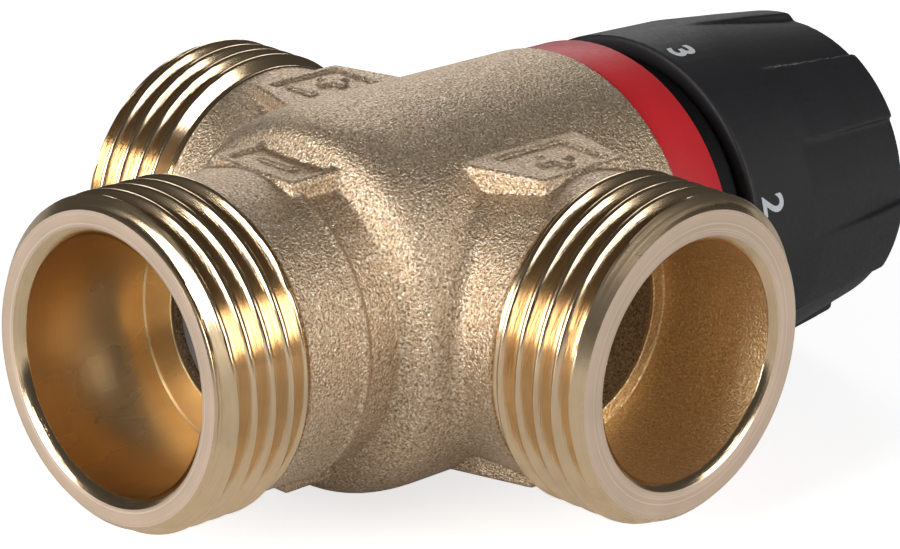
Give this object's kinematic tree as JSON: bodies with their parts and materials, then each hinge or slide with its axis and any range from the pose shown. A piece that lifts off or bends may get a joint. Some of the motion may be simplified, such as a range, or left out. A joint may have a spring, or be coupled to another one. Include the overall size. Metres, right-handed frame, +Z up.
{
  "type": "three-way mixing valve",
  "caption": "Three-way hot and cold water mixing valve with a wax element, a numbered turning knob and threaded pipe ports in a T",
  "frame": {"origin": "under the middle of the part's length and width, on the plane its barrel lies on", "axes": "+Y runs along the spindle from the cold port to the knob, +X points out of the hot port, -X out of the mixed port, and +Z up through the marked pads; the port axes lie 19.7 mm up"},
  "size_m": [0.0706, 0.0996, 0.0394],
  "materials": {
    "cast_brass": "blasted casting with turned port noses",
    "turned_brass": "turned",
    "red_ring": "satin",
    "black_ring": "matt",
    "knob_plastic": "fine matt grain with light printed digits",
    "steel": "bright",
    "seal_rubber": "smooth",
    "white_plastic": "smooth",
    "shuttle_plastic": "moulded",
    "disc_plastic": "moulded"
  },
  "bodies": {
    "body": {"valve_body": "cast_brass", "colour_ring": "red_ring", "stop_ring": "black_ring", "bonnet": "turned_brass", "bonnet_seal": "seal_rubber", "thrust_washer": "white_plastic", "return_spring": "steel"},
    "knob": {"control_knob": "knob_plastic", "knob_cover": "knob_plastic", "knob_washer": "steel", "knob_screw": "steel", "spindle": "turned_brass", "spindle_seal_lower": "seal_rubber", "spindle_seal_upper": "seal_rubber", "spindle_clip": "steel"},
    "nut": {"setting_nut": "turned_brass", "cup_clip": "steel", "overload_spring": "steel"},
    "cup": {"spring_cup": "steel", "element_piston": "steel"},
    "shuttle": {"shuttle": "shuttle_plastic", "shuttle_seal": "seal_rubber", "hot_disc_seal": "seal_rubber", "cold_disc": "disc_plastic", "cold_disc_seal": "seal_rubber", "cold_disc_nut": "disc_plastic", "wax_capsule": "turned_brass", "capsule_clip": "steel"}
  },
  "joints": [
    {"name": "knob_turn", "type": "hinge", "parent": "body", "child": "knob", "pos_m": [0, 0.02185, 0.0197], "axis": [0, -1, 0], "range_deg": [-163.5, 135.5]},
    {"name": "nut_travel", "type": "slide", "parent": "body", "child": "nut", "axis": [0, 1, 0], "range_m": [-0.00115, 0.0014]},
    {"name": "cup_travel", "type": "slide", "parent": "nut", "child": "cup", "axis": [0, 1, 0], "range_m": [0, 0.002], "stiffness_N_per_m": 3000, "springref_m": -0.0001, "deforming": ["overload_spring"]},
    {"name": "shuttle_travel", "type": "slide", "parent": "body", "child": "shuttle", "axis": [0, -1, 0], "range_m": [0, 0.0028], "stiffness_N_per_m": 1500, "springref_m": -0.002, "deforming": ["return_spring"]}
  ],
  "couplings": [
    {"joint": "nut_travel", "follows": "knob_turn", "m_per_rad": -0.00047746}
  ]
}
